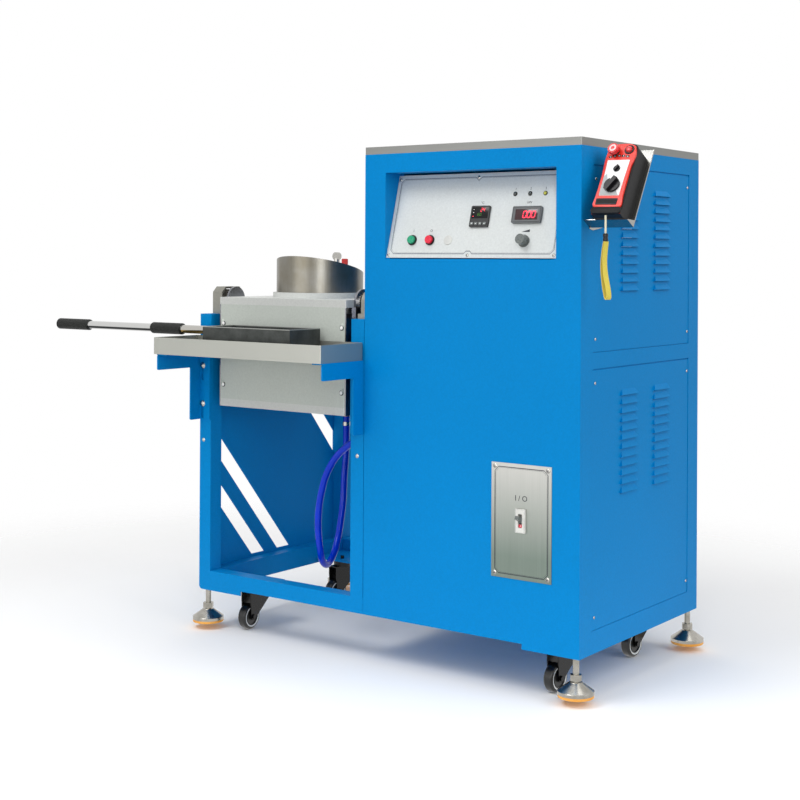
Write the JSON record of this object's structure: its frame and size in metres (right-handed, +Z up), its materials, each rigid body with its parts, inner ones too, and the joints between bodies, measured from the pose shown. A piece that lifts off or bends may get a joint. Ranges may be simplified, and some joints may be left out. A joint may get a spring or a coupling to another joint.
{
  "type": "tilting induction melting furnace",
  "caption": "Small tilting metal melting furnace: a blue power cabinet beside an open bay with a tipping crucible box, pouring tray, ingot mould with a long handle, and a hand pendant.",
  "frame": {"origin": "middle of the bounding box on the floor", "axes": "+X right along the front towards the louvred side, +Y to the rear, +Z up"},
  "size_m": [1.692, 0.777, 1.2175],
  "materials": {
    "blue_paint": "satin",
    "stainless": "brushed",
    "panel_white": "satin",
    "box_grey": "satin",
    "board": "matt",
    "dark_steel": "satin",
    "cast_black": "satin",
    "graphite": "matt",
    "copper": "satin",
    "brass_fitting": "satin",
    "electronics": "satin",
    "instrument_black": "gloss",
    "knob_grey": "satin",
    "breaker_white": "satin",
    "button_green": "gloss",
    "button_red": "gloss",
    "pendant_red": "satin",
    "strap_yellow": "matt",
    "hose_blue": "gloss",
    "handle_steel": "gloss",
    "lever_red": "satin",
    "castor_black": "gloss",
    "castor_tyre": "satin",
    "foot_zinc": "satin"
  },
  "bodies": {
    "root": {"base_frame": "blue_paint", "bay_frame": "blue_paint", "bay_side_panel": "blue_paint", "cabinet_front": "blue_paint", "cabinet_walls": "blue_paint", "cabinet_side_frame": "blue_paint", "side_panel_upper": "blue_paint", "side_panel_lower": "blue_paint", "steel_top": "stainless", "control_recess": "blue_paint", "control_panel": "panel_white", "panel_instruments": "instrument_black", "power_plate": "stainless", "breaker_body": "breaker_white", "trunnion_brackets": "cast_black", "tilt_drive": "cast_black", "power_module": "electronics", "bracket_bolts": "stainless", "remote_holder": "stainless", "water_riser": "stainless", "hose_gland": "stainless", "water_hose": "hose_blue", "castor_plates": "blue_paint"},
    "furnace": {"furnace_sides": "stainless", "furnace_covers": "box_grey", "furnace_end_plates": "board", "mouth_collar": "board", "guard_ring": "dark_steel", "crucible": "graphite", "furnace_lining": "board", "induction_coil": "copper", "trunnions": "stainless", "hose_fitting": "brass_fitting"},
    "tray": {"tray": "stainless", "tray_brackets": "blue_paint"},
    "mould": {"mould_trough": "dark_steel", "mould_handle": "handle_steel"},
    "power_knob": {"power_knob": "knob_grey"},
    "start_button": {"start_button": "button_green"},
    "stop_button": {"stop_button": "button_red"},
    "breaker_lever": {"breaker_lever": "instrument_black"},
    "pendant": {"remote_body": "pendant_red", "remote_strap": "strap_yellow"},
    "pendant_stop": {"remote_stop": "button_red"},
    "pendant_start": {"remote_start": "button_red"},
    "pendant_selector": {"remote_selector": "instrument_black"},
    "pendant_dial": {"remote_dial": "instrument_black"},
    "valve_lever": {"valve_lever": "lever_red"},
    "swivel_1": {"castor_fork_1": "castor_black"},
    "wheel_1": {"castor_wheel_1": "castor_tyre"},
    "swivel_2": {"castor_fork_2": "castor_black"},
    "wheel_2": {"castor_wheel_2": "castor_tyre"},
    "swivel_3": {"castor_fork_3": "castor_black"},
    "wheel_3": {"castor_wheel_3": "castor_tyre"},
    "swivel_4": {"castor_fork_4": "castor_black"},
    "wheel_4": {"castor_wheel_4": "castor_tyre"},
    "foot_1": {"foot_1": "foot_zinc"},
    "foot_2": {"foot_2": "foot_zinc"},
    "foot_3": {"foot_3": "foot_zinc"},
    "foot_4": {"foot_4": "foot_zinc"}
  },
  "joints": [
    {"name": "furnace_tilt", "type": "hinge", "parent": "root", "child": "furnace", "pos_m": [-0.10925, -0.1585, 0.848], "axis": [1, 0, 0], "range_deg": [0, 95]},
    {"name": "tray_height", "type": "slide", "parent": "root", "child": "tray", "axis": [0, 0, 1], "range_m": [0, 0.03]},
    {"name": "mould_lift", "type": "slide", "parent": "tray", "child": "mould", "axis": [0, 0, -1], "range_m": [-0.05, 0]},
    {"name": "power_setting", "type": "hinge", "parent": "root", "child": "power_knob", "pos_m": [0.5901, -0.21427, 0.99454], "axis": [0, 0.965, -0.2622], "range_deg": [0, 300]},
    {"name": "start_press", "type": "slide", "parent": "root", "child": "start_button", "axis": [0, 0.965, -0.2622], "range_m": [0, 0.0028], "stiffness_N_per_m": 500, "springref_m": -0.001},
    {"name": "stop_press", "type": "slide", "parent": "root", "child": "stop_button", "axis": [0, 0.965, -0.2622], "range_m": [0, 0.0028], "stiffness_N_per_m": 500, "springref_m": -0.001},
    {"name": "breaker_switch", "type": "hinge", "parent": "root", "child": "breaker_lever", "pos_m": [0.59545, -0.2275, 0.3816], "axis": [1, 0, 0], "range_deg": [0, 48]},
    {"name": "pendant_out", "type": "slide", "parent": "root", "child": "pendant", "axis": [0, -0.866, 0.5], "range_m": [0, 0.06]},
    {"name": "pendant_stop_press", "type": "slide", "parent": "pendant", "child": "pendant_stop", "axis": [0, 0.866, -0.5], "range_m": [0, 0.0025]},
    {"name": "pendant_start_press", "type": "slide", "parent": "pendant", "child": "pendant_start", "axis": [0, 0.866, -0.5], "range_m": [0, 0.002], "stiffness_N_per_m": 300, "springref_m": -0.001},
    {"name": "pendant_selector_turn", "type": "hinge", "parent": "pendant", "child": "pendant_selector", "pos_m": [0.803, -0.18376, 1.14747], "axis": [0, 0.866, -0.5], "range_deg": [-60, 60]},
    {"name": "pendant_dial_turn", "type": "hinge", "parent": "pendant", "child": "pendant_dial", "pos_m": [0.803, -0.20476, 1.1111], "axis": [0, 0.866, -0.5], "range_deg": [0, 270]},
    {"name": "valve_turn", "type": "hinge", "parent": "root", "child": "valve_lever", "pos_m": [-0.3265, 0.3075, 0.912], "axis": [0, 0, 1], "range_deg": [0, 90]},
    {"name": "castor_swivel_1", "type": "hinge", "parent": "root", "child": "swivel_1", "pos_m": [-0.266, -0.1355, 0.112], "axis": [0, 0, 1], "continuous": true},
    {"name": "castor_roll_1", "type": "hinge", "parent": "swivel_1", "child": "wheel_1", "pos_m": [-0.26469, -0.16047, 0.032], "axis": [0.9986, 0.0523, 0], "continuous": true},
    {"name": "castor_swivel_2", "type": "hinge", "parent": "root", "child": "swivel_2", "pos_m": [0.646, -0.1355, 0.112], "axis": [0, 0, 1], "continuous": true},
    {"name": "castor_roll_2", "type": "hinge", "parent": "swivel_2", "child": "wheel_2", "pos_m": [0.64382, -0.1604, 0.032], "axis": [0.9962, -0.0872, 0], "continuous": true},
    {"name": "castor_swivel_3", "type": "hinge", "parent": "root", "child": "swivel_3", "pos_m": [-0.266, 0.2275, 0.112], "axis": [0, 0, 1], "continuous": true},
    {"name": "castor_roll_3", "type": "hinge", "parent": "swivel_3", "child": "wheel_3", "pos_m": [-0.26991, 0.20281, 0.032], "axis": [0.9877, -0.1564, 0], "continuous": true},
    {"name": "castor_swivel_4", "type": "hinge", "parent": "root", "child": "swivel_4", "pos_m": [0.646, 0.2275, 0.112], "axis": [0, 0, 1], "continuous": true},
    {"name": "castor_roll_4", "type": "hinge", "parent": "swivel_4", "child": "wheel_4", "pos_m": [0.64382, 0.20259, 0.032], "axis": [0.9962, -0.0872, 0], "continuous": true},
    {"name": "foot_level_1", "type": "slide", "parent": "root", "child": "foot_1", "axis": [0, 0, -1], "range_m": [0, 0.02]},
    {"name": "foot_level_2", "type": "slide", "parent": "root", "child": "foot_2", "axis": [0, 0, -1], "range_m": [0, 0.02]},
    {"name": "foot_level_3", "type": "slide", "parent": "root", "child": "foot_3", "axis": [0, 0, -1], "range_m": [0, 0.02]},
    {"name": "foot_level_4", "type": "slide", "parent": "root", "child": "foot_4", "axis": [0, 0, -1], "range_m": [0, 0.02]}
  ]
}
